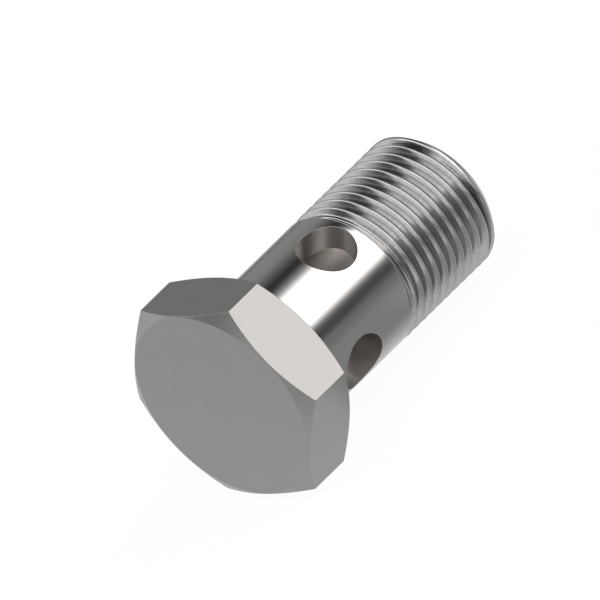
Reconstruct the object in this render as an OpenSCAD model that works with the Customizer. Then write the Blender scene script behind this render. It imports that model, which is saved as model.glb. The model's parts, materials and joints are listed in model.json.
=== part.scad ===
// Banjo bolt: a hexagon-headed hollow bolt, turned from one bar. A blind bore runs
// in from the threaded end, and two drillings at right angles to each other cross
// the plain shank, so that fluid passes from a ring fitting into the bore.
//
// The bolt lies as it comes to rest on a table: on one flat of its head and on the
// rim of its threaded end. X runs from head to threaded end, Z points up, and the
// origin is on the table, under the middle of the bolt.

/* [Hexagon head] */
// Width across the flats
head_across_flats = 24; // [22:0.5:30]
// Height of the head, from its outer face to its bearing face
head_h = 7.75; // [6:0.25:14]
// Distance by which the round outer face stops short of the flats
outer_face_inset = 0.15; // [0.05:0.05:1]
// Distance by which the round bearing face stops short of the flats
bearing_face_inset = 0.15; // [0.05:0.05:1]
// Angle between each chamfer and its face
head_chamfer_angle = 30; // [15:1:40]

/* [Thread] */
// Major diameter of the thread
thread_d = 17.75; // [17:0.05:20]
// Width of the groove in which the thread runs out, at the major diameter
runout_width = 1.1; // [0.9:0.05:2]
// Depth of that groove below the major diameter
runout_depth = 0.6; // [0.3:0.05:0.7]
// Length of the bevel at the end of the thread
end_bevel = 1.15; // [0.3:0.05:1.5]

/* [Shank] */
// Length from the bearing face to the threaded end
shank_len = 32.75; // [30:0.25:60]
// Length of the plain part, from the bearing face to the groove where the thread ends
plain_len = 15.9; // [15.7:0.1:24]
// Amount by which the plain part is thinner than the thread's major diameter
plain_relief = 0.05; // [0.05:0.05:0.5]
// Radius of the fillet between bearing face and shank
neck_fillet_r = 0.4; // [0.1:0.05:1]

/* [Bore] */
// Diameter of the blind bore
bore_d = 11; // [8:0.1:12]
// Distance from the bearing face to the end of the full bore
bore_floor = 2.5; // [0:0.1:3.2]
// Point angle of the drill that made the bore
drill_point_angle = 118; // [90:1:140]
// Width of the bevel at the mouth of the bore
bore_bevel = 0.5; // [0.1:0.05:0.9]

/* [Cross drillings] */
// Diameter of each cross drilling
cross_d = 6.9; // [4.5:0.1:7]
// Distance from the bearing face to the axis of the nearer drilling
near_level = 7; // [6.8:0.1:8.5]
// Distance from the bearing face to the axis of the farther drilling
far_level = 12; // [10:0.1:12.2]
// Angle of the farther drilling, from one of the head's flats
far_angle = 30; // [0:5:90]
// Angle between the two drillings
drilling_spread = 90; // [60:5:90]

/* [Hidden] */
$fn = 96;
hexagon_sides = 6;
flat_r = head_across_flats / 2;
corner_r = flat_r / cos(180 / hexagon_sides);
outer_face_r = flat_r - outer_face_inset;
bearing_face_r = flat_r - bearing_face_inset;
thread_r = thread_d / 2;
plain_r = thread_r - plain_relief / 2;
end_face_r = thread_r - end_bevel;
bore_r = bore_d / 2;
groove_r = thread_r - runout_depth;
thread_start = plain_len + runout_width;
// Angle between the sides of the groove and a cut straight across the shank
flank_angle = 30;
// Distance by which a cutter runs past the surface that it opens
past = 1;
fillet_steps = 6;

// The head touches the table where its lowest flat reaches closest to the bearing
// face, and the shank touches it where the bevel of its end begins.
flat_setback = bearing_face_inset * tan(head_chamfer_angle);
rim_level = shank_len - end_bevel;
rest_tilt = atan((flat_r - thread_r) / (rim_level + flat_setback));
axis_height = flat_r * cos(rest_tilt) - flat_setback * sin(rest_tilt);
// The ends of the bolt along X are the foot of its outer face and the top of its
// threaded end.
head_reach = head_h * cos(rest_tilt) + outer_face_r * sin(rest_tilt);
end_reach = shank_len * cos(rest_tilt) + end_face_r * sin(rest_tilt);
middle_x = (end_reach - head_reach) / 2;

// Round blank of the head, as wide as the corners of the hexagon, with a chamfer
// on both faces
module head_blank() {
    rotate_extrude()
        polygon([
            [0, -head_h],
            [outer_face_r, -head_h],
            [corner_r, (corner_r - outer_face_r) * tan(head_chamfer_angle) - head_h],
            [corner_r, (bearing_face_r - corner_r) * tan(head_chamfer_angle)],
            [bearing_face_r, 0],
            [0, 0]
        ]);
}

// The flats cut the blank's chamfers in curves. Two of the flats lie across X.
module head() {
    intersection() {
        head_blank();
        rotate([0, 0, 180 / hexagon_sides])
            translate([0, 0, -head_h - past])
                cylinder(r = corner_r, h = head_h + 2 * past, $fn = hexagon_sides);
    }
}

// Points of the hollow fillet that joins the bearing face to the plain part
function neck_fillet() = [
    for (i = [0 : fillet_steps])
        let (turn = 90 * i / fillet_steps)
        [
            plain_r + neck_fillet_r * (1 - sin(turn)),
            neck_fillet_r * (1 - cos(turn))
        ]
];

// Points of the groove in which the thread runs out
function runout_groove() = [
    [plain_r, plain_len],
    [groove_r, plain_len + (plain_r - groove_r) * tan(flank_angle)],
    [groove_r, thread_start - runout_depth * tan(flank_angle)],
    [thread_r, thread_start]
];

// Plain part, groove, threaded part at its major diameter, and the bevelled end
module shank() {
    rotate_extrude()
        polygon(concat(
            [[0, -head_h / 2], [plain_r + neck_fillet_r, -head_h / 2]],
            neck_fillet(),
            runout_groove(),
            [
                [thread_r, rim_level],
                [end_face_r, shank_len],
                [0, shank_len]
            ]
        ));
}

// What the drill takes out along the axis: the cone of its point, the full bore
// and the bevel at the mouth
module axial_bore() {
    point_h = bore_r / tan(drill_point_angle / 2);
    mouth_r = bore_r + bore_bevel;
    rotate_extrude()
        polygon([
            [0, bore_floor - point_h],
            [bore_r, bore_floor],
            [bore_r, shank_len - bore_bevel],
            [mouth_r, shank_len],
            [mouth_r, shank_len + past],
            [0, shank_len + past]
        ]);
}

// A drilling through both walls of the shank
module cross_drilling(level, angle) {
    translate([0, 0, level])
        rotate([0, 0, angle])
            rotate([0, 90, 0])
                cylinder(d = cross_d, h = 2 * (plain_r + past), center = true);
}

// The bolt upright, with the middle of its bearing face at the origin
module upright_bolt() {
    difference() {
        union() {
            head();
            shank();
        }
        axial_bore();
        cross_drilling(far_level, far_angle);
        cross_drilling(near_level, far_angle + drilling_spread);
    }
}

module banjo_bolt() {
    color([0.71, 0.7, 0.68])
        translate([-middle_x, 0, axis_height])
            rotate([0, 90 + rest_tilt, 0])
                upright_bolt();
}

banjo_bolt();
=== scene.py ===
"""Banjo bolt lying on a pale table: hexagon head, drilled plain shank, fine thread.

Every size is in metres. The bolt is built in its own frame, whose Z axis runs from the
bearing face under the head towards the threaded end, and is then laid where the solid is.
"""

import cmath
import json
import math

import bmesh
import bpy
from bpy.props import FloatProperty, FloatVectorProperty, IntProperty, PointerProperty
from mathutils import Matrix, Vector
from mathutils.kdtree import KDTree


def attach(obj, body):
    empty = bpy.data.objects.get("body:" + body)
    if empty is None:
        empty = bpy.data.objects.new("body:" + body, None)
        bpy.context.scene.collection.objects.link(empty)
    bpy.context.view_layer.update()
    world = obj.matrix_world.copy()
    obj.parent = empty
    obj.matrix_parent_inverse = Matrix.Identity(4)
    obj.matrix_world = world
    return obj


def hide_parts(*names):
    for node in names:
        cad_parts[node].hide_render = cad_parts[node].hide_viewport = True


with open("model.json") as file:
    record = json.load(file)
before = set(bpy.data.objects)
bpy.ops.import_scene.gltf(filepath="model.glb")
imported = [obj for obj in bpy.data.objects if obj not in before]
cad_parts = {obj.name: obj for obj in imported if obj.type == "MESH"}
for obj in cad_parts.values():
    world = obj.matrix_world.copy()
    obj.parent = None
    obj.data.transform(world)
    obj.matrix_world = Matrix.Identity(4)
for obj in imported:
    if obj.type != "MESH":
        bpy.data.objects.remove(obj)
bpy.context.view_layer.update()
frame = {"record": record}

bl_info = {
    "name": "Banjo Bolt",
    "version": (1, 0, 0),
    "blender": (4, 5, 0),
    "location": "View3D > Sidebar > Banjo Bolt",
    "description": "Hollow hexagon bolt with cross drillings and a fine thread",
    "category": "Add Mesh",
}

MOUNTS = {mount["name"]: mount for mount in frame["record"]["mounts"]}
ALONG = Vector(MOUNTS["thread"]["axis"]).normalized()
BEARING_CENTRE = Vector(MOUNTS["ring_seat"]["pos_m"])
HEAD_HEIGHT = (Vector(MOUNTS["hexagon"]["pos_m"]) - BEARING_CENTRE).length
THREAD_MIDDLE = (Vector(MOUNTS["thread"]["pos_m"]) - BEARING_CENTRE).length
THREAD_HALF = MOUNTS["thread"]["dims"]["length_mm"] / 2000
FAR_LEVEL = (Vector(MOUNTS["far_cross_drilling"]["pos_m"]) - BEARING_CENTRE).length
NEAR_LEVEL = (Vector(MOUNTS["near_cross_drilling"]["pos_m"]) - BEARING_CENTRE).length

# Directions of the bolt's own X, Y and Z in the scene. Its X points down at a flat.
SIDE = Vector((0, 1, 0))
DOWN = SIDE.cross(ALONG).normalized()
BOLT_TO_SCENE = Matrix((DOWN, SIDE, ALONG)).transposed().to_4x4()
BOLT_TO_SCENE.translation = BEARING_CENTRE

# Order of the finishes on the piece
HEAD, SHANK, THREAD, BORE = range(4)
# Points closer than this are one point
WELD = 1e-6
# Columns round the shank start here, so that each drilling is in the middle of a quarter
FIRST_COLUMN = math.radians(-15)

# Width of the smooth ring that turning the shank leaves on the bearing face, past the fillet,
# and of the band of faces that joins it to the head
TURNED_RING = 0.0012
JOINT_BAND = 0.0005
# Steps in which the edges, the fillet under the head and the groove's corners are rounded
EDGE_STEPS, FILLET_STEPS, GROOVE_STEPS = 3, 8, 4
# Rows of faces from a drilling to the border of its quarter, on the wall and in the bore, and
# the power by which they crowd towards the drilling
WALL_ROWS, BORE_ROWS, CROWDING = 9, 6, 1.3
# Lean of the run-out groove's sides, and the radii of its edge and of the corner at its floor
GROOVE_LEAN = math.tan(math.radians(30))
GROOVE_EDGE, GROOVE_CORNER = 0.00008, 0.00015
# The threaded skin takes over on the floor of the groove, this far before its side rises
SKIN_LAP = 0.00006
# Radii of the edges of the end face, of the bore's mouth and of the bore's floor
END_EDGE, MOUTH_EDGE, FLOOR_EDGE = 0.00008, 0.00006, 0.00008

# Profile of the thread, in pitches. The crest's rounding has a third of CREST_EASE as its
# radius, and the root's takes over from the flank at ROOT_REACH from its middle.
CREST_EASE = 0.19
ROOT_REACH = 0.06
# Half the width of the land that the last ridge has at the end, in pitches, and how far
# before the bevel the ridge begins to widen and is as wide as that
LAND_HALF = 0.3
LAND_START, LAND_WHOLE = 0.0005, 0.0002
# Rows of faces in one pitch, a multiple of six. A sixth of them are in each half of the
# crest, which ends at CREST_REACH, in each flank and in each half of the root.
PITCH_ROWS = 24
CREST_REACH = 0.1
FLANK_END = 0.5 - ROOT_REACH
FLANK_SLOPE = 3 * FLANK_END / math.hypot(math.sqrt(3) * FLANK_END, CREST_EASE)
ROOT_ROUND = ROOT_REACH * math.hypot(1, 1 / FLANK_SLOPE)
ROOT_LEVEL = (math.hypot(math.sqrt(3) * FLANK_END, CREST_EASE) - CREST_EASE
              - ROOT_REACH / FLANK_SLOPE)
ROOT_DEPTH = ROOT_LEVEL + ROOT_ROUND

# Noises to a millimetre: the turning marks, the grain and the slow changes over a surface
MARK_SCALE, GRAIN_SCALE, CLOUD_SCALE = 9.0, 14.0, 0.35
# Lines that the thread's cutter leaves: how fine they are round the bolt and along it
LINES_ROUND, LINES_ALONG = 34.0, 0.5
# Shares by which a steel's colour and its roughness change over it
TINT_CHANGE, CLOUD_ROUGHNESS = 0.07, 0.08
# Radii, in millimetres, between which painted shade darkens the thread towards its root, and how
# far
ROOT_RADII, ROOT_SHADE = (7.95, 8.07), 0.42

# Share of the table's own even light in what is seen of it. The rest is its shadow.
TABLE_GLOW = 0.96
# Direction from the bolt across the dark strips overhead, and the brightness of the strips
ACROSS_STRIPS = (-0.208, -0.857, 0.473)
STRIP_DARK = 0.065
# The picture's width and, on it, a point of the bolt's axis, in pixels from its top left
# corner. The point lies this far before the bearing face.
PICTURE_PIXELS = 600
AXIS_PIXEL = (227.85, 399.74)
AXIS_POINT = 0.00659

# What every colour and every share has in common
COLOUR = {"size": 3, "min": 0, "max": 1, "subtype": "COLOR"}
SHARE = {"min": 0, "max": 1, "subtype": "FACTOR"}


class HeadSizes(bpy.types.PropertyGroup):
    across_flats: FloatProperty(
        name="Across flats", description="Width of the hexagon",
        default=0.024, min=0.02, max=0.03, unit="LENGTH")
    height: FloatProperty(
        name="Height", description="From the outer face to the bearing face",
        default=HEAD_HEIGHT, min=0.005, max=0.02, unit="LENGTH")
    face_inset: FloatProperty(
        name="Face inset", description="How far the round faces stop short of the flats",
        default=0.00015, min=0.00005, max=0.001, unit="LENGTH")
    chamfer: FloatProperty(
        name="Chamfer", description="Angle between each chamfer and its face",
        default=math.radians(30), min=math.radians(15), max=math.radians(40), subtype="ANGLE")
    edge_round: FloatProperty(
        name="Edge rounding", description="Radius to which the edges are broken",
        default=0.00007, min=0.00002, max=0.0002, unit="LENGTH")


class ShankSizes(bpy.types.PropertyGroup):
    radius: FloatProperty(
        name="Radius", description="Radius of the plain part",
        default=0.00885, min=0.008, max=0.01, unit="LENGTH")
    plain_length: FloatProperty(
        name="Plain length", description="From the bearing face to the run-out groove",
        default=0.0159, min=0.0157, max=0.024, unit="LENGTH")
    neck_fillet: FloatProperty(
        name="Neck fillet", description="Radius of the fillet under the head",
        default=0.0004, min=0.0001, max=0.001, unit="LENGTH")
    drilling_radius: FloatProperty(
        name="Drilling radius", description="Radius of each cross drilling",
        default=MOUNTS["far_cross_drilling"]["dims"]["r_mm"] / 1000,
        min=0.002, max=0.0035, unit="LENGTH")
    near_level: FloatProperty(
        name="Near drilling", description="From the bearing face to the nearer drilling",
        default=NEAR_LEVEL, min=0.006, max=0.009, unit="LENGTH")
    far_level: FloatProperty(
        name="Far drilling", description="From the bearing face to the farther drilling",
        default=FAR_LEVEL, min=0.01, max=0.0125, unit="LENGTH")
    far_angle: FloatProperty(
        name="Far angle", description="Angle of the farther drilling from one flat",
        default=math.radians(30), subtype="ANGLE")
    mouth_round: FloatProperty(
        name="Mouth rounding", description="Radius to which the drillings' mouths are broken",
        default=0.00003, min=0.00002, max=0.0003, unit="LENGTH")


class BoreSizes(bpy.types.PropertyGroup):
    radius: FloatProperty(
        name="Radius", description="Radius of the blind bore",
        default=MOUNTS["axial_bore"]["dims"]["r_mm"] / 1000, min=0.004, max=0.006, unit="LENGTH")
    floor: FloatProperty(
        name="Floor", description="From the bearing face to the end of the full bore",
        default=0.0025, min=0.0, max=0.003, unit="LENGTH")
    point_angle: FloatProperty(
        name="Point angle", description="Point angle of the drill that made the bore",
        default=math.radians(118), subtype="ANGLE")
    bevel: FloatProperty(
        name="Bevel", description="Width of the bevel at the mouth",
        default=0.0005, min=0.0001, max=0.0009, unit="LENGTH")


class ThreadSizes(bpy.types.PropertyGroup):
    radius: FloatProperty(
        name="Major radius", description="Radius over the crests",
        default=MOUNTS["thread"]["dims"]["r_mm"] / 1000, min=0.008, max=0.01, unit="LENGTH")
    pitch: FloatProperty(
        name="Pitch", description="Distance from crest to crest",
        default=0.0015, min=0.001, max=0.002, unit="LENGTH")
    start: FloatProperty(
        name="Start", description="Level at which the run-out groove reaches the crests",
        default=THREAD_MIDDLE - THREAD_HALF, unit="LENGTH")
    groove_depth: FloatProperty(
        name="Groove depth", description="Depth of the run-out groove below the crests",
        default=0.0006, min=0.0003, max=0.0007, unit="LENGTH")
    rim: FloatProperty(
        name="Rim", description="Level at which the bevel of the end begins",
        default=THREAD_MIDDLE + THREAD_HALF, unit="LENGTH")
    end_bevel: FloatProperty(
        name="End bevel", description="Length of the bevel at the threaded end",
        default=0.00115, min=0.0003, max=0.0015, unit="LENGTH")
    phase: FloatProperty(
        name="Phase", description="Turn of the helix, as a share of one pitch",
        default=0.4, **SHARE)
    quarter_columns: IntProperty(
        name="Columns", description="Columns of faces in a quarter of a turn",
        default=48, min=24, max=64)


class SteelFinish(bpy.types.PropertyGroup):
    head_colour: FloatVectorProperty(
        name="Head", description="Colour of the satin head",
        default=(0.294, 0.289, 0.281), **COLOUR)
    shank_colour: FloatVectorProperty(
        name="Shank", description="Colour of the smooth shank",
        default=(0.405, 0.401, 0.396), **COLOUR)
    thread_colour: FloatVectorProperty(
        name="Thread", description="Colour of the cut thread",
        default=(0.42, 0.417, 0.413), **COLOUR)
    # The drilled walls are coloured lighter than the rest of the steel: painted light in the
    # shaded bore and drillings
    lightened_bore_colour: FloatVectorProperty(
        name="Bore", description="Colour of the drilled walls",
        default=(0.6, 0.575, 0.555), **COLOUR)
    head_roughness: FloatProperty(
        name="Head roughness", description="Roughness of the satin head",
        default=0.37, **SHARE)
    shank_roughness: FloatProperty(
        name="Shank roughness", description="Roughness of the smooth shank",
        default=0.17, **SHARE)
    thread_roughness: FloatProperty(
        name="Thread roughness", description="Roughness of the cut thread",
        default=0.18, **SHARE)
    bore_roughness: FloatProperty(
        name="Bore roughness", description="Roughness of the drilled walls",
        default=0.38, **SHARE)


class StudioSettings(bpy.types.PropertyGroup):
    floor_colour: FloatVectorProperty(
        name="Floor", description="Colour of the table",
        default=(0.9, 0.9, 0.9), **COLOUR)
    near_walls: FloatProperty(
        name="Walls at the head", description="Brightness of the pale walls on the head's side",
        default=1.2, min=0)
    far_walls: FloatProperty(
        name="Walls at the end", description="Brightness of the pale walls on the threaded side",
        default=0.475, min=0)
    softbox: FloatProperty(
        name="Softbox", description="Brightness of the large soft lamp",
        default=3.35, min=0)
    softbox_colour: FloatVectorProperty(
        name="Softbox colour", description="Colour of the large soft lamp",
        default=(1.0, 0.975, 0.965), **COLOUR)
    lamp_turn: FloatProperty(
        name="Lamp turn", description="Turn of the softbox round the bolt, from straight up",
        default=math.radians(36), subtype="ANGLE")
    view_tilt: FloatProperty(
        name="View tilt", description="Angle between the bolt's axis and the line of sight",
        default=math.radians(55), subtype="ANGLE")
    view_turn: FloatProperty(
        name="View turn", description="Turn of the line of sight round the bolt, from straight up",
        default=math.radians(60), subtype="ANGLE")
    picture_slope: FloatProperty(
        name="Picture slope", description="Slope of the bolt's axis in the picture",
        default=math.radians(44.35), subtype="ANGLE")
    picture_width: FloatProperty(
        name="Picture width", description="Width of what the camera sees",
        default=0.06651, min=0.05, max=0.2, unit="LENGTH")


# The skin of the body

class Skin:
    """Points, their exact normals and the faces between them, in the bolt's own frame."""

    def __init__(self):
        self.points, self.normals, self.faces, self.finishes = [], [], [], []

    def row(self, pairs):
        """Adds a row of points with their normals and returns their numbers."""
        first = len(self.points)
        for point, normal in pairs:
            self.points.append(point)
            self.normals.append(normal.normalized())
        return list(range(first, len(self.points)))

    def face(self, corners, finish):
        """Adds a face, wound so that it looks the way that its points' normals do."""
        a, b, c = (self.points[corners[i]] for i in (0, len(corners) // 2, -1))
        looks = (b - a).cross(c - a)
        if looks.dot(sum((self.normals[i] for i in corners), Vector())) < 0:
            corners = corners[::-1]
        self.faces.append(corners)
        self.finishes.append(finish)

    def sheet(self, rows, finishes):
        """Joins closed rows of equal length with faces, each band in its own finish."""
        for lower, upper, finish in zip(rows, rows[1:], finishes):
            for i in range(len(lower)):
                j = (i + 1) % len(lower)
                self.face([lower[i], lower[j], upper[j], upper[i]], finish)


def rounded(corners, steps):
    """Points (r, z) of a turned profile and their outward normals, its corners rounded.

    Each corner is (r, z, radius). The metal is on the left of the way it is followed. The
    sums take a point as one complex number, r + zi, so that a factor of -i turns right.
    """
    spots = [complex(r, z) for r, z, _ in corners]
    ways = [(b - a) / abs(b - a) for a, b in zip(spots, spots[1:])]
    made = [(spots[0], ways[0] * -1j)]
    for spot, (_, _, radius), before, after in zip(spots[1:], corners[1:], ways, ways[1:]):
        turn = cmath.phase(after / before)
        reach = math.copysign(radius, turn)
        centre = spot - before * radius * math.tan(abs(turn) / 2) - before * -1j * reach
        for k in range(steps + 1):
            looks = before * -1j * cmath.exp(1j * turn * k / steps)
            made.append((centre + looks * reach, looks))
    made.append((spots[-1], ways[-1] * -1j))
    return [(spot.real, spot.imag, looks.real, looks.imag) for spot, looks in made]


def polar(angle, r=1, z=0):
    """The point at this angle and distance round the axis, and at this level."""
    return Vector((math.cos(angle) * r, math.sin(angle) * r, z))


def turned(skin, angles, profile, finish):
    """Adds what a profile draws when it is turned, and returns its rows of points."""
    rows = [skin.row((polar(a, r, z), polar(a, nr, nz)) for a in angles)
            for r, z, nr, nz in profile]
    skin.sheet(rows, [finish] * (len(rows) - 1))
    return rows


def head_columns(head, angles):
    """Angle, distance and outward direction of each column of the hexagon's sides.

    Five columns go round each corner, and the shank's own angles lie between them.
    """
    flat = head.across_flats / 2
    sixth = math.pi / 3
    columns = []
    for k in range(6):
        corner = sixth * (k + 0.5)
        centre = polar(corner) * (flat - head.edge_round) / math.cos(sixth / 2)
        for swing in (-1, -0.5, 0, 0.5, 1):
            direction = polar(corner + swing * sixth / 2)
            place = centre + direction * head.edge_round
            angle = corner - polar(corner).to_2d().angle_signed(place.to_2d())
            columns.append((angle, place.length, direction))
    # The shank's angles that fall in the rounding of a corner are left out
    reach = max(abs(angle - sixth / 2) for angle, _, _ in columns[:5])
    for angle in angles:
        off = (angle + sixth / 2) % sixth - sixth / 2
        if sixth / 2 - abs(off) > reach:
            columns.append((angle, flat / math.cos(off), polar(angle - off)))
    return sorted(columns, key=lambda column: column[0])


def add_head(skin, head, neck, angles):
    """The hexagon with its chamfers, from the outer face to a ring on the bearing face."""
    flat = head.across_flats / 2
    face = flat - head.face_inset
    slope = math.tan(head.chamfer)
    columns = head_columns(head, angles)
    # How far each ring looks straight out of the flats: not at all on the faces and chamfers
    blend = [0] * (EDGE_STEPS + 2) + [k / EDGE_STEPS for k in range(EDGE_STEPS + 1)]
    blend += blend[::-1]
    profiles = []
    for _, reach, _ in columns:
        rise = (reach - face) * slope
        profiles.append(rounded([
            (0, -head.height, 0),
            (face, -head.height, head.edge_round),
            (reach, rise - head.height, head.edge_round),
            (reach, -rise, head.edge_round),
            (face, 0, head.edge_round),
            (neck, 0, 0),
        ], EDGE_STEPS))
    rows = []
    for k, share in enumerate(blend):
        pairs = []
        for (angle, _, direction), profile in zip(columns, profiles):
            r, z, nr, nz = profile[k]
            way = polar(angle).lerp(direction, share).normalized()
            pairs.append((polar(angle, r, z), way * nr + Vector((0, 0, nz))))
        rows.append(skin.row(pairs))
    skin.sheet(rows, [HEAD] * (len(rows) - 1))
    return columns, rows[-1]


def join_neck(skin, columns, outer, angles, inner):
    """Joins the head's ring to the shank's, which has fewer points."""
    places = [column[0] for column in columns]
    # A point on the line between two faces belongs to both
    slack = 1e-9
    for i, angle in enumerate(angles):
        j = (i + 1) % len(angles)
        end = angles[j] if j else angles[j] + 2 * math.pi
        between = [k for k, place in enumerate(places) if angle - slack < place < end + slack]
        if not j:
            between.append(0)
        skin.face([inner[i]] + [outer[k] for k in between] + [inner[j]], HEAD)


def quarter_border(low, high, per_quarter, rows):
    """Angles from the drilling and levels round the border of a quarter of a wall."""
    half = math.pi / 4
    step = 2 * half / per_quarter
    rise = (high - low) / rows
    return ([(i * step - half, low) for i in range(per_quarter)]
            + [(half, low + k * rise) for k in range(rows)]
            + [(half - i * step, high) for i in range(per_quarter)]
            + [(-half, high - k * rise) for k in range(rows)])


def add_drilled_quarter(skin, sizes, angle, level, wall_levels, bore_levels):
    """One quarter of the shank's wall and of the bore's, and the drilling that joins them."""
    shank, bore, thread = sizes
    per_quarter, side_rows = thread.quarter_columns, thread.quarter_columns // 2
    outer, inner = shank.radius, bore.radius
    hole, edge = shank.drilling_radius, shank.mouth_round
    wide = hole + edge
    axis, across, up = polar(angle), polar(angle + math.pi / 2), Vector((0, 0, 1))
    wall_border = quarter_border(*wall_levels, per_quarter, side_rows)
    bore_border = quarter_border(*bore_levels, per_quarter, side_rows)
    turns = [math.atan2(z - level, outer * math.sin(a)) for a, z in wall_border]

    def on_wall(radius, u, v, sign):
        """A point of a wall of this radius, and the way that the wall looks there."""
        foot = across * u + axis * math.sqrt(radius * radius - u * u)
        return foot + up * v, foot.normalized() * sign

    def wall_row(radius, border, share, sign):
        """A row between the drilling, at a share of 0, and the border, at 1."""
        pairs = []
        for t, (a, z) in zip(turns, border):
            u = wide * math.cos(t) * (1 - share) + radius * math.sin(a) * share
            v = (level + wide * math.sin(t)) * (1 - share) + z * share
            pairs.append(on_wall(radius, u, v, sign))
        return skin.row(pairs)

    def tube_point(t, depth):
        return across * hole * math.cos(t) + up * (level + hole * math.sin(t)) + axis * depth

    def tube_normal(t):
        return -(across * math.cos(t) + up * math.sin(t))

    def rim_depth(radius, t):
        return math.sqrt(radius * radius - (hole * math.cos(t)) ** 2)

    def mouth_row(radius, share, sign):
        """A row of the rounded edge between a wall and the drilling."""
        pairs = []
        for t in turns:
            outside, looks = on_wall(
                radius, wide * math.cos(t), level + wide * math.sin(t), sign)
            rim = rim_depth(radius, t)
            at_edge, in_tube = tube_point(t, rim), tube_point(t, rim - sign * edge)
            place = (outside * (1 - share) ** 2 + at_edge * 2 * share * (1 - share)
                     + in_tube * share ** 2)
            pairs.append((place, looks.lerp(tube_normal(t), share)))
        return skin.row(pairs)

    rounding = [k / 4 for k in range(5)]
    rows = [wall_row(outer, wall_border, (1 - k / WALL_ROWS) ** CROWDING, 1)
            for k in range(WALL_ROWS)]
    bands = [SHANK] * len(rows)
    rows += [mouth_row(outer, share, 1) for share in rounding]
    for k in (1, 2, 3):
        pairs = []
        for t in turns:
            rim_out, rim_in = rim_depth(outer, t) - edge, rim_depth(inner, t) + edge
            depth = rim_out + (rim_in - rim_out) * k / 4
            pairs.append((tube_point(t, depth), tube_normal(t)))
        rows.append(skin.row(pairs))
    rows += [mouth_row(inner, share, -1) for share in reversed(rounding)]
    rows += [wall_row(inner, bore_border, (k / BORE_ROWS) ** CROWDING, -1)
             for k in range(1, BORE_ROWS + 1)]
    bands += [BORE] * (len(rows) - 1 - len(bands))
    skin.sheet(rows, bands)


def thread_levels(thread):
    """Levels on the floor of the run-out groove where the threaded skin begins and rises."""
    rise = thread.start - thread.groove_depth * GROOVE_LEAN
    return rise - SKIN_LAP, rise


def end_profile(shank, thread, bore):
    """Rounded profile over the end face and down the full bore.

    Its first corner, on the bevel of the end, only gives the slope and is left out.
    """
    end = thread.rim + thread.end_bevel
    end_r = thread.radius - thread.end_bevel
    mouth = bore.radius + bore.bevel
    return rounded([
        (end_r + thread.end_bevel / 2, end - thread.end_bevel / 2, 0),
        (end_r, end, END_EDGE),
        (mouth, end, MOUTH_EDGE),
        (bore.radius, end - bore.bevel, MOUTH_EDGE),
        (bore.radius, shank.plain_length, 0),
    ], EDGE_STEPS)[1:]


def body_skin(scene):
    """The whole bolt except the threaded skin, with the exact normal of every point."""
    head, shank, bore, thread = (
        scene.bolt_head, scene.bolt_shank, scene.bolt_bore, scene.bolt_thread)
    skin = Skin()
    count = 4 * thread.quarter_columns
    angles = [FIRST_COLUMN + 2 * math.pi * i / count for i in range(count)]
    neck = shank.radius + shank.neck_fillet + TURNED_RING

    columns, head_ring = add_head(skin, head, neck + JOINT_BAND, angles)
    under_head = rounded([
        (neck, 0, 0),
        (shank.radius, 0, shank.neck_fillet),
        (shank.radius, shank.plain_length, 0),
    ], FILLET_STEPS)[:-1]
    rows = turned(skin, angles, under_head, SHANK)
    join_neck(skin, columns, head_ring, angles, rows[0])

    floor = thread.radius - thread.groove_depth
    groove = rounded([
        (shank.radius, shank.neck_fillet, 0),
        (shank.radius, shank.plain_length, GROOVE_EDGE),
        (floor, shank.plain_length + (shank.radius - floor) * GROOVE_LEAN, GROOVE_CORNER),
        (floor, thread_levels(thread)[0], 0),
    ], GROOVE_STEPS)[1:]
    turned(skin, angles, groove, SHANK)

    # The quarters stop short of the edge of the groove and of the rounding of the bore's floor
    wall_levels = (shank.neck_fillet, groove[0][1])
    bore_levels = (bore.floor + FLOOR_EDGE * 1.25, shank.plain_length)
    for k in range(4):
        level = shank.near_level if k % 2 else shank.far_level
        add_drilled_quarter(skin, (shank, bore, thread), shank.far_angle + k * math.pi / 2,
                            level, wall_levels, bore_levels)

    end = end_profile(shank, thread, bore)
    # The bore's finish begins where the end face rounds into its mouth
    mouth = EDGE_STEPS + 1
    turned(skin, angles, end[:mouth + 1], SHANK)
    turned(skin, angles, end[mouth:], BORE)
    point = bore.radius / math.tan(bore.point_angle / 2)
    bottom = rounded([
        (bore.radius, bore_levels[0], 0),
        (bore.radius, bore.floor, FLOOR_EDGE),
        (0, bore.floor - point, 0),
    ], EDGE_STEPS)
    turned(skin, angles, bottom, BORE)
    return skin


# The threaded skin, grown by a node tree

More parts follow.
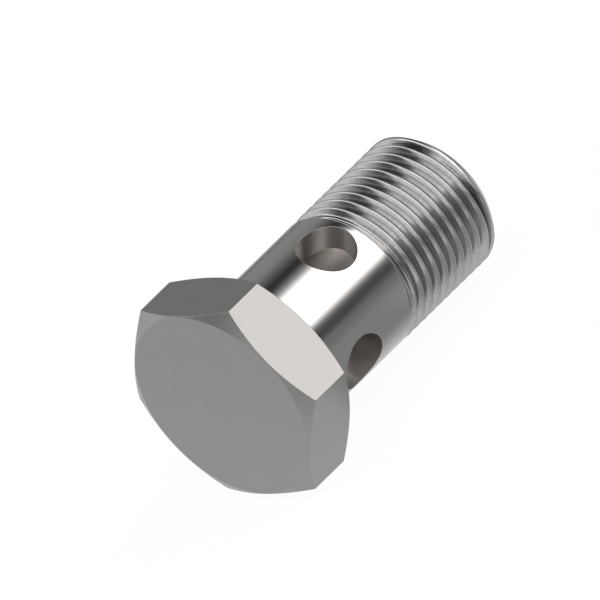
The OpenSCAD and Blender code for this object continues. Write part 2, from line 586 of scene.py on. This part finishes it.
class NodeTools:
    """Short ways to build a node tree and to write its sums."""

    def __init__(self, tree):
        self.tree = tree

    def fill(self, node, given):
        """Gives inputs, by name or in their order, what given holds: values or links."""
        for key, value in (given.items() if isinstance(given, dict) else enumerate(given)):
            if isinstance(value, bpy.types.NodeSocket):
                self.tree.links.new(value, node.inputs[key])
            else:
                node.inputs[key].default_value = value

    def node(self, kind, given=(), **settings):
        node = self.tree.nodes.new(kind)
        for name, value in settings.items():
            setattr(node, name, value)
        self.fill(node, given)
        return node

    def __call__(self, operation, *values):
        return self.node("ShaderNodeMath", values, operation=operation).outputs[0]

    def chain(self, operation, values):
        result = values[0]
        for value in values[1:]:
            result = self(operation, result, value)
        return result

    def less(self, value, other):
        return self("SUBTRACT", value, other)

    def total(self, *values):
        return self.chain("ADD", values)

    def product(self, *values):
        return self.chain("MULTIPLY", values)

    def highest(self, *values):
        return self.chain("MAXIMUM", values)

    def ramp(self, value, low, high, start=0.0, end=1.0, smooth=False):
        """value carried from low..high to start..end, held at both ends."""
        return self.node("ShaderNodeMapRange", (value, low, high, start, end),
                         interpolation_type="SMOOTHSTEP" if smooth else "LINEAR").outputs[0]

    def rise(self, value, low, high, top=1.0):
        """A soft climb from 0 at low to top at high."""
        return self.ramp(value, low, high, 0.0, top, smooth=True)

    def fall(self, value, low, high, top=1.0):
        """A soft drop from top at low to 0 at high."""
        return self.ramp(value, low, high, top, 0.0, smooth=True)

    def window(self, value, low, high, low_soft, high_soft):
        """1 between low and high, with edges that are soft to each side of them."""
        return self.product(self.rise(value, low - low_soft, low + low_soft),
                            self.fall(value, high - high_soft, high + high_soft))

    def dot(self, way, direction):
        """How far the vector way points in a fixed direction."""
        return self.node("ShaderNodeVectorMath", (way, direction),
                         operation="DOT_PRODUCT").outputs["Value"]

    def join(self, x, y, z):
        return self.node("ShaderNodeCombineXYZ", (x, y, z)).outputs[0]

    def split(self, vector):
        return tuple(self.node("ShaderNodeSeparateXYZ", (vector,)).outputs)


def thread_tree(values):
    """A node tree that grows a helical thread, turn by turn, between two levels.

    One turn is a grid: its X is the angle, its Y the distance from the crest in pitches
    and its Z the level. The turns are set up the axis, trimmed and wrapped round. values
    holds what each of its inputs is called and starts with.
    """
    tree = bpy.data.node_groups.new("fine_thread", "GeometryNodeTree")
    tree.interface.new_socket(name="Geometry", in_out="OUTPUT", socket_type="NodeSocketGeometry")
    kinds = {float: "NodeSocketFloat", int: "NodeSocketInt"}
    for name, value in values.items():
        made = tree.interface.new_socket(
            name=name, in_out="INPUT", socket_type=kinds.get(type(value), "NodeSocketMaterial"))
        made.default_value = value

    m = NodeTools(tree)
    given = m.node("NodeGroupInput").outputs
    pitch, major, groove = given["Pitch"], given["Major radius"], given["Groove radius"]
    begin, rise, rows = given["Start"], given["Rise"], given["Rows"]

    # One turn, flat
    grid = m.node("GeometryNodeMeshGrid", {
        "Size X": 1, "Size Y": 1,
        "Vertices X": m.total(given["Columns"], 1), "Vertices Y": m.total(rows, 1)})
    x, y, _ = m.split(m.node("GeometryNodeInputPosition").outputs[0])
    turn = m.total(x, 0.5)
    row = m("ROUND", m.product(y, rows))
    from_crest = m("ABSOLUTE", row)
    crest_end, flank_end, root_middle = (m("DIVIDE", rows, k) for k in (6, 3, 2))
    crest = m.ramp(from_crest, 0.0, crest_end, 0.0, CREST_REACH)
    flank = m.ramp(from_crest, crest_end, flank_end, 0.0, FLANK_END - CREST_REACH)
    root = m.ramp(from_crest, flank_end, root_middle, 0.0, ROOT_REACH)
    share = m.total(crest, flank, root)
    offset = m.product(m("SIGN", row), share)
    angle = m("MULTIPLY_ADD", turn, 2 * math.pi, given["First column"])
    level = m.product(m.total(offset, turn, given["Phase"]), pitch)
    flat_turn = m.node("GeometryNodeSetPosition", {
        "Geometry": grid.outputs["Mesh"], "Position": m.join(angle, share, level)})

    # The turns, one pitch apart, from two pitches before the start
    spots = m.node("GeometryNodeMeshLine", {
        "Count": given["Turns"], "Offset": m.join(0, 0, pitch),
        "Start Location": m.join(0, 0, m.less(begin, m.product(pitch, 2.0)))}, mode="OFFSET")
    turns = m.node("GeometryNodeInstanceOnPoints", {
        "Points": spots.outputs["Mesh"], "Instance": flat_turn.outputs[0]})
    skin = m.node("GeometryNodeRealizeInstances", turns.outputs)

    # The last ridge widens into a land just before the bevel of the end
    angle, from_crest, level = m.split(m.node("GeometryNodeInputPosition").outputs[0])
    z = m("MINIMUM", m.highest(level, begin), given["End"])
    rim = m.less(m.total(given["End face"], given["End face radius"]), major)
    land = m.rise(m.less(z, rim), -LAND_START, -LAND_WHOLE, LAND_HALF)
    away = m.highest(m.less(from_crest, land), 0.0)
    # Depth of the thread at each distance from the crest, in pitches: a round crest
    # that runs into a flank of a 60 degree thread, and a round root
    slant = m("SQRT", m("MULTIPLY_ADD", m.product(away, away), 3.0, CREST_EASE ** 2))
    sunk = m.less(slant, CREST_EASE)
    to_root = m.less(0.5, away)
    hollow = m("SQRT", m.less(ROOT_ROUND ** 2, m.product(to_root, to_root)))
    in_root = m("GREATER_THAN", away, 0.5 - ROOT_REACH)
    deeper = m.less(m.total(ROOT_LEVEL, hollow), sunk)
    depth = m.total(sunk, m.product(in_root, deeper))
    threaded = m.less(major, m.product(depth, pitch))

    # The thread fades out of the run-out groove and is cut by the bevel of the end
    root_radius = m.less(major, m.product(pitch, ROOT_DEPTH))
    fade = m.rise(z, rise, m.total(rise, pitch))
    shallow = m.less(groove, m.product(fade, m.less(groove, root_radius)))
    climb = m.highest(m.less(z, rise), 0.0)
    side = m.total(groove, m("DIVIDE", climb, GROOVE_LEAN))
    bevel = m.total(given["End face radius"], m.less(given["End face"], z))
    radius = m.chain("MINIMUM", (m.highest(threaded, shallow), side, bevel))
    around = m.join(m.product(radius, m("COSINE", angle)), m.product(radius, m("SINE", angle)), z)
    for kind, more in (("GeometryNodeSetPosition", {"Position": around}),
                       ("GeometryNodeMergeByDistance", {"Distance": WELD}),
                       ("GeometryNodeSetShadeSmooth", {}),
                       ("GeometryNodeRealizeInstances", {}),
                       ("GeometryNodeSetMaterial", {"Material": given["Finish"]})):
        skin = m.node(kind, {0: skin.outputs[0], **more})
    m.node("NodeGroupOutput", skin.outputs)
    return tree


def threaded_skin(thread, material):
    """The threaded skin as a plain mesh in the bolt's own frame."""
    start, rise = thread_levels(thread)
    end = thread.rim + thread.end_bevel
    # The skin ends on the bevel, at 45 degrees, where the rounding of the end face begins
    setback = END_EDGE * math.tan(math.radians(22.5)) * math.sqrt(0.5)
    values = {
        "Pitch": thread.pitch, "Major radius": thread.radius,
        "Groove radius": thread.radius - thread.groove_depth,
        "Start": start, "Rise": rise, "End": end - setback,
        "End face": end, "End face radius": thread.radius - thread.end_bevel,
        "First column": FIRST_COLUMN, "Phase": thread.phase,
        "Columns": 4 * thread.quarter_columns, "Rows": PITCH_ROWS,
        # Two turns to spare at each end
        "Turns": math.ceil((end - thread.start) / thread.pitch) + 4, "Finish": material,
    }
    tree = thread_tree(values)
    holder = bpy.data.objects.new("thread_skin", bpy.data.meshes.new("thread_skin"))
    bpy.context.scene.collection.objects.link(holder)
    modifier = holder.modifiers.new("Thread", "NODES")
    modifier.node_group = tree
    for item in tree.interface.items_tree:
        if item.item_type == "SOCKET" and item.in_out == "INPUT":
            modifier[item.identifier] = values[item.name]
    bpy.context.view_layer.update()
    graph = bpy.context.evaluated_depsgraph_get()
    mesh = bpy.data.meshes.new_from_object(holder.evaluated_get(graph))
    holder.modifiers.remove(modifier)
    bpy.data.objects.remove(holder)
    return mesh


# Finishes

def steel(name, colour, roughness, edge, rings, grain, streak, chatter=0.0):
    """Bare steel with turning marks round the bolt's axis and a fine grain.

    edge is the tint at grazing angles. rings and grain are the heights of the marks and of
    the grain, in tenths of a millimetre. streak is how much the roughness changes from mark
    to mark. On the thread, chatter is how much the colour changes between the lines that
    its cutter leaves along the bolt, and painted shade darkens the root.
    """
    material = bpy.data.materials.new(name)
    material.use_nodes = True
    m = NodeTools(material.node_tree)

    # Millimetres in the bolt's own frame
    back = BOLT_TO_SCENE.inverted()
    own = m.node("ShaderNodeMapping", {
        "Vector": m.node("ShaderNodeTexCoord").outputs["Object"],
        "Location": back.translation * 1000, "Rotation": back.to_euler(),
        "Scale": (1000, 1000, 1000)}).outputs[0]
    x, y, z = m.split(own)
    out = m("SQRT", m.total(m.product(x, x), m.product(y, y)))
    # The marks follow one another both along the bolt and out over its faces
    along = m("MULTIPLY_ADD", out, 0.8, z)

    def noise(scale, detail, source, one_way=False):
        return m.node("ShaderNodeTexNoise", {
            "W" if one_way else "Vector": source, "Scale": scale, "Detail": detail,
            "Roughness": 0.6}, noise_dimensions="1D" if one_way else "3D").outputs[0]

    marks = noise(MARK_SCALE, 3.0, along, one_way=True)
    speckle = noise(GRAIN_SCALE, 2.0, own)
    cloud = noise(CLOUD_SCALE, 2.0, own)

    share = m.total(m.product(cloud, 0.6), m.product(marks, 0.4))
    if chatter:
        lines = noise(1.0, 1.0, m.join(m.product(m("DIVIDE", x, out), LINES_ROUND),
                                       m.product(m("DIVIDE", y, out), LINES_ROUND),
                                       m.product(z, LINES_ALONG)))
        share = m("MULTIPLY_ADD", m.less(lines, 0.5), chatter, share)
    painted = m.node("ShaderNodeMix", {
        "Factor": share, "A": [c * (1 - TINT_CHANGE) for c in colour] + [1],
        "B": [c * (1 + TINT_CHANGE) for c in colour] + [1]}, data_type="RGBA").outputs["Result"]
    if chatter:
        # Painted shade darkens the root of the thread, and not the bevel of the end
        rim = (THREAD_MIDDLE + THREAD_HALF) * 1000
        light = m.highest(m.ramp(out, *ROOT_RADII, ROOT_SHADE, 1.0),
                          m.ramp(z, rim - 0.1, rim + 0.1))
        painted = m.node("ShaderNodeVectorMath", {0: painted, "Scale": light},
                         operation="SCALE").outputs["Vector"]

    wander = m.total(m.product(m.less(marks, 0.5), streak),
                     m.product(m.less(cloud, 0.5), CLOUD_ROUGHNESS))
    turned_marks = m.node("ShaderNodeBump", {
        "Strength": 1.0, "Distance": rings * 0.0001, "Height": marks})
    all_marks = m.node("ShaderNodeBump", {
        "Strength": 1.0, "Distance": grain * 0.0001, "Height": speckle,
        "Normal": turned_marks.outputs[0]})
    m.fill(m.tree.nodes["Principled BSDF"], {
        "Metallic": 1.0, "Specular Tint": (edge, edge, edge, 1.0), "Base Color": painted,
        "Roughness": m.product(m.total(wander, 1.0), roughness),
        "Normal": all_marks.outputs[0]})
    return material


def finishes(look):
    """The four finishes, in the order in which the piece carries them."""
    return [
        steel("satin_head_steel", look.head_colour, look.head_roughness,
              edge=1.0, rings=0.02, grain=0.03, streak=0.05),
        steel("turned_shank_steel", look.shank_colour, look.shank_roughness,
              edge=0.85, rings=0.01, grain=0.004, streak=0.06),
        steel("cut_thread_steel", look.thread_colour, look.thread_roughness,
              edge=0.65, rings=0.03, grain=0.01, streak=0.2, chatter=2.2),
        steel("drilled_bore_steel", look.lightened_bore_colour, look.bore_roughness,
              edge=1.0, rings=0.03, grain=0.03, streak=0.1),
    ]


# Operators

class BOLT_OT_turn_body(bpy.types.Operator):
    """Build the head, the drilled shank and the bore, open where the thread goes"""

    bl_idname = "bolt.turn_body"
    bl_label = "Turn Body"

    def execute(self, context):
        skin = body_skin(context.scene)
        mesh = bpy.data.meshes.new("bolt_body")
        mesh.from_pydata([BOLT_TO_SCENE @ p for p in skin.points], [], skin.faces)
        mesh.polygons.foreach_set("material_index", skin.finishes)
        for material in finishes(context.scene.bolt_finish):
            mesh.materials.append(material)
        context.scene.collection.objects.link(bpy.data.objects.new("bolt_body", mesh))
        exact = mesh.attributes.new("exact_normal", "FLOAT_VECTOR", "POINT")
        turn = BOLT_TO_SCENE.to_3x3()
        exact.data.foreach_set("vector", [x for n in skin.normals for x in turn @ n])
        return {"FINISHED"}


class BOLT_OT_cut_thread(bpy.types.Operator):
    """Grow the thread, weld it into the body and make the bolt one closed piece"""

    bl_idname = "bolt.cut_thread"
    bl_label = "Cut Thread"

    def execute(self, context):
        body = bpy.data.objects["bolt_body"]
        exact = body.data.attributes["exact_normal"].data
        tree = KDTree(len(exact))
        for i, vertex in enumerate(body.data.vertices):
            tree.insert(vertex.co, i)
        tree.balance()

        skin = threaded_skin(context.scene.bolt_thread, body.data.materials[THREAD])
        skin.transform(BOLT_TO_SCENE)
        work = bmesh.new()
        work.from_mesh(body.data)
        own_faces = len(work.faces)
        work.from_mesh(skin)
        for i, face in enumerate(work.faces):
            face.smooth = True
            if i >= own_faces:
                face.material_index = THREAD
        bmesh.ops.remove_doubles(work, verts=work.verts, dist=WELD)
        bmesh.ops.dissolve_degenerate(work, edges=work.edges, dist=WELD / 10)
        bmesh.ops.recalc_face_normals(work, faces=work.faces)
        open_edges = sum(1 for edge in work.edges if len(edge.link_faces) != 2)
        mesh = bpy.data.meshes.new("banjo_bolt_steel")
        work.to_mesh(mesh)
        work.free()
        if open_edges:
            raise RuntimeError(f"the bolt isn't closed: {open_edges} loose edges")

        for material in body.data.materials:
            mesh.materials.append(material)
        normals = []
        for vertex, own in zip(mesh.vertices, mesh.vertex_normals):
            _, i, distance = tree.find(vertex.co)
            normals.append(exact[i].vector if distance < WELD * 2 else own.vector)
        mesh.attributes.remove(mesh.attributes["exact_normal"])
        mesh.normals_split_custom_set_from_vertices([n[:] for n in normals])
        bolt = bpy.data.objects.new("banjo_bolt_steel", mesh)
        context.scene.collection.objects.link(bolt)
        bpy.data.objects.remove(body)
        bpy.data.meshes.remove(skin)
        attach(bolt, "root")
        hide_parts("banjo_bolt")
        return {"FINISHED"}


class BOLT_OT_set_studio(bpy.types.Operator):
    """Lay the pale table, light the studio and set the camera at the picture's angle"""

    bl_idname = "bolt.set_studio"
    bl_label = "Set Studio"

    def execute(self, context):
        studio = context.scene.bolt_studio
        lay_table(context.scene, studio)
        light_studio(context.scene, studio)
        set_camera(context.scene, studio)
        context.scene.view_settings.view_transform = "Standard"
        return {"FINISHED"}


def lay_table(scene, studio):
    """A pale table, just below the bolt, and the painted shade that the steel alone sees on it.

    The camera and the steel see it white with a faint shadow. Each zone of painted shade is
    given in metres, and darkens the table only where the steel reflects it.
    """
    mesh = bpy.data.meshes.new("table")
    corners = [(x, y, -0.00002) for x, y in ((-3, -3), (3, -3), (3, 3), (-3, 3))]
    mesh.from_pydata(corners, [], [(0, 1, 2, 3)])
    table = bpy.data.objects.new("table", mesh)
    scene.collection.objects.link(table)
    paint = bpy.data.materials.new("pale_table")
    paint.use_nodes = True
    m = NodeTools(paint.node_tree)
    shader = m.tree.nodes["Principled BSDF"]
    m.fill(shader, {"Base Color": list(studio.floor_colour) + [1], "Roughness": 1.0,
                    "Specular IOR Level": 0.0})

    x, y, _ = m.split(m.node("ShaderNodeTexCoord").outputs["Object"])
    # Painted shade, seen in the steel alone, over all of the near side, ever darker with the
    # distance from the bolt
    brink = m.ramp(x, -0.012, -0.004, -0.016, -0.004)
    nearer = m.highest(m.less(brink, y), 0.0)
    near_side = m("DIVIDE", nearer, m.total(nearer, 0.02))
    # Painted shadow close beside the drilled shank, where the bolt shades the table, seen in the
    # steel alone
    beside = m.product(m.rise(x, -0.011, -0.006), m.fall(x, 0.012, 0.024),
                       m.fall(y, -0.011, -0.0035, 0.55))
    # Both are paler close to the thread and far off beside it
    close_by = m.product(m.rise(x, 0.007, 0.016), m.rise(y, -0.024, -0.015, 0.6))
    far_off = m.product(m.rise(x, 0.004, 0.014), m.fall(x, 0.034, 0.05),
                        m.fall(y, -0.09, -0.06, 0.6))
    painted_shade = m.product(m.highest(near_side, beside),
                     m.less(1.0, m.highest(close_by, far_off)))
    # Painted shade, seen in the steel alone, behind the thread, beyond the head and beyond the
    # threaded end
    behind = m.product(m.rise(x, 0.005, 0.02), m.rise(y, 0.0, 0.016, 0.5))
    painted_shade = m.highest(painted_shade, behind, m.fall(x, -0.07, -0.025, 0.1), m.rise(x, 0.07, 0.12, 0.85))

    rays = m.node("ShaderNodeLightPath").outputs
    # The painted shade darkens the table's white only in the steel's reflections
    white = m.node("ShaderNodeEmission", {
        "Strength": m.less(1.0, m.product(painted_shade, rays["Is Glossy Ray"]))})
    seen = m.highest(rays["Is Camera Ray"], rays["Is Glossy Ray"], rays["Is Transmission Ray"])
    blend = m.node("ShaderNodeMixShader", (
        m.product(seen, TABLE_GLOW), shader.outputs[0], white.outputs[0]))
    m.fill(m.tree.nodes["Material Output"], {"Surface": blend.outputs[0]})
    mesh.materials.append(paint)


def light_studio(scene, studio):
    """Pale walls all round, a large softbox beyond the threaded end and dark strips overhead.

    All of it is drawn in the world by direction. It lights the table and shows in the
    steel, and the camera sees plain white in its place.
    """
    up, towards = -DOWN, -SIDE
    turn = studio.lamp_turn
    round_bolt = up * math.cos(turn) + towards * math.sin(turn)
    lamp = ALONG * math.cos(studio.view_tilt) + round_bolt * math.sin(studio.view_tilt)
    lamp.normalize()
    across = (towards * math.cos(turn) - up * math.sin(turn)).normalized()

    world = bpy.data.worlds.new("studio")
    scene.world = world
    world.use_nodes = True
    m = NodeTools(world.node_tree)
    way = m.node("ShaderNodeTexCoord").outputs["Generated"]
    lengthways, height = m.dot(way, (1, 0, 0)), m.dot(way, (0, 0, 1))
    sideways, upwards = m.dot(way, across), m.dot(way, lamp.cross(across))
    front = m.ramp(m.dot(way, lamp), 0.0, 0.2)
    box = m.product(m.window(sideways, -0.385, 0.435, 0.12, 0.08),
                    m.window(upwards, -0.28, 0.28, 0.08, 0.08), front)

    # Pale walls, lighter on the head's side
    head_side = m.fall(lengthways, -0.4, 0.4)
    walls = m("MULTIPLY_ADD", head_side, studio.near_walls - studio.far_walls, studio.far_walls)
    # Two dark strips overhead, behind the bolt and in line with it, and a pale gap between.
    # Their near edge is soft, and reaches further out between the gap and the softbox.
    off_strip = m.dot(way, ACROSS_STRIPS)
    near_edge = m("MULTIPLY_ADD", head_side, -0.06, off_strip)
    wider = m.window(lengthways, 0.08, 0.45, 0.04, 0.05)
    near_edge = m("MULTIPLY_ADD", wider, -0.31, near_edge)
    edge_start = m.ramp(lengthways, -0.75, -0.6, 0.13, 0.06, smooth=True)
    edge_end = m.ramp(lengthways, -0.75, -0.6, 0.2, 0.24, smooth=True)
    near_side = m.ramp(near_edge, edge_start, edge_end, STRIP_DARK, 1.0, smooth=True)
    far_side = m.ramp(off_strip, -0.45, -0.03, 1.0, STRIP_DARK)
    gap = m.product(m.rise(lengthways, -0.56, -0.42), m.fall(lengthways, -0.1, 0.04),
                    m.ramp(off_strip, -0.35, -0.1, 1.0, 1.8))
    strip = m.highest(near_side, far_side, gap)
    # A dark flag on the near side of the softbox
    flag = m.product(m.window(sideways, 0.53, 0.95, 0.05, 0.1), front,
                     m.rise(lengthways, 0.32, 0.56), 0.6)
    # The walls on the near side darken towards the table
    low = m.product(m.fall(height, 0.15, 0.4, 0.45), m.rise(m.dot(way, towards), 0.35, 0.6))
    # The wall that the threaded end faces is dark
    end_wall = m.ramp(lengthways, 0.78, 0.9, 1.0, 0.1, smooth=True)
    dim = m.product(strip, m.less(1.0, flag), m.less(1.0, low), end_wall)
    # A narrow lamp across the bolt, between the gap and the softbox
    bar = m.product(m.window(lengthways, 0.16, 0.38, 0.06, 0.06), m.rise(off_strip, 0.4, 0.6),
                    m.ramp(height, 0.25, 0.45, 0.35, 1.55, smooth=True))

    # The camera sees plain white beyond the table
    seen = m.node("ShaderNodeLightPath").outputs["Is Camera Ray"]
    unseen = m.less(1.0, seen)
    room = m("MULTIPLY_ADD", dim, walls, bar)
    background = m.tree.nodes["Background"]
    m.fill(background, {
        "Color": (1, 1, 1, 1), "Strength": m("MULTIPLY_ADD", room, unseen, seen)})
    softbox = m.node("ShaderNodeBackground", {
        "Color": list(studio.softbox_colour) + [1],
        "Strength": m.product(box, unseen, studio.softbox)})
    both = m.node("ShaderNodeAddShader", (background.outputs[0], softbox.outputs[0]))
    m.fill(m.tree.nodes["World Output"], {"Surface": both.outputs[0]})


def set_camera(scene, studio):
    """A camera without perspective, at the picture's angle, turned as the picture is."""
    up, towards = -DOWN, -SIDE
    side = up * math.cos(studio.view_turn) + towards * math.sin(studio.view_turn)
    sight = (side * math.sin(studio.view_tilt) - ALONG * math.cos(studio.view_tilt)).normalized()
    in_picture = (ALONG - sight * ALONG.dot(sight)).normalized()
    square = sight.cross(in_picture)
    slope = studio.picture_slope
    right = in_picture * math.cos(slope) - square * math.sin(slope)
    above = in_picture * math.sin(slope) + square * math.cos(slope)

    pixel = studio.picture_width / PICTURE_PIXELS
    middle = PICTURE_PIXELS / 2
    centre = (BEARING_CENTRE - ALONG * AXIS_POINT - right * (AXIS_PIXEL[0] - middle) * pixel
              - above * (middle - AXIS_PIXEL[1]) * pixel)
    camera = bpy.data.objects.new("camera", bpy.data.cameras.new("camera"))
    scene.collection.objects.link(camera)
    camera.data.type = "ORTHO"
    camera.data.ortho_scale = studio.picture_width
    camera.data.clip_start, camera.data.clip_end = 0.01, 20.0
    camera.matrix_world = Matrix((right, above, sight)).transposed().to_4x4()
    # Its distance doesn't show, because it has no perspective
    camera.location = centre + sight * 0.3
    scene.camera = camera


class BOLT_PT_panel(bpy.types.Panel):
    bl_idname = "BOLT_PT_panel"
    bl_label = "Banjo Bolt"
    bl_space_type = "VIEW_3D"
    bl_region_type = "UI"
    bl_category = "Banjo Bolt"

    def draw(self, context):
        for group in GROUPS:
            column = self.layout.column()
            for name in GROUPS[group].__annotations__:
                column.prop(getattr(context.scene, group), name)
        for operator in OPERATORS:
            self.layout.operator(operator.bl_idname)


GROUPS = {
    "bolt_head": HeadSizes,
    "bolt_shank": ShankSizes,
    "bolt_bore": BoreSizes,
    "bolt_thread": ThreadSizes,
    "bolt_finish": SteelFinish,
    "bolt_studio": StudioSettings,
}
OPERATORS = (BOLT_OT_turn_body, BOLT_OT_cut_thread, BOLT_OT_set_studio)


def register():
    for group, kind in GROUPS.items():
        bpy.utils.register_class(kind)
        setattr(bpy.types.Scene, group, PointerProperty(type=kind))
    for kind in (*OPERATORS, BOLT_PT_panel):
        bpy.utils.register_class(kind)


def unregister():
    for kind in (BOLT_PT_panel, *reversed(OPERATORS)):
        bpy.utils.unregister_class(kind)
    for group, kind in reversed(GROUPS.items()):
        delattr(bpy.types.Scene, group)
        bpy.utils.unregister_class(kind)


def main():
    register()
    bpy.ops.bolt.turn_body()
    bpy.ops.bolt.cut_thread()
    bpy.ops.bolt.set_studio()


if __name__ == "__main__":
    main()
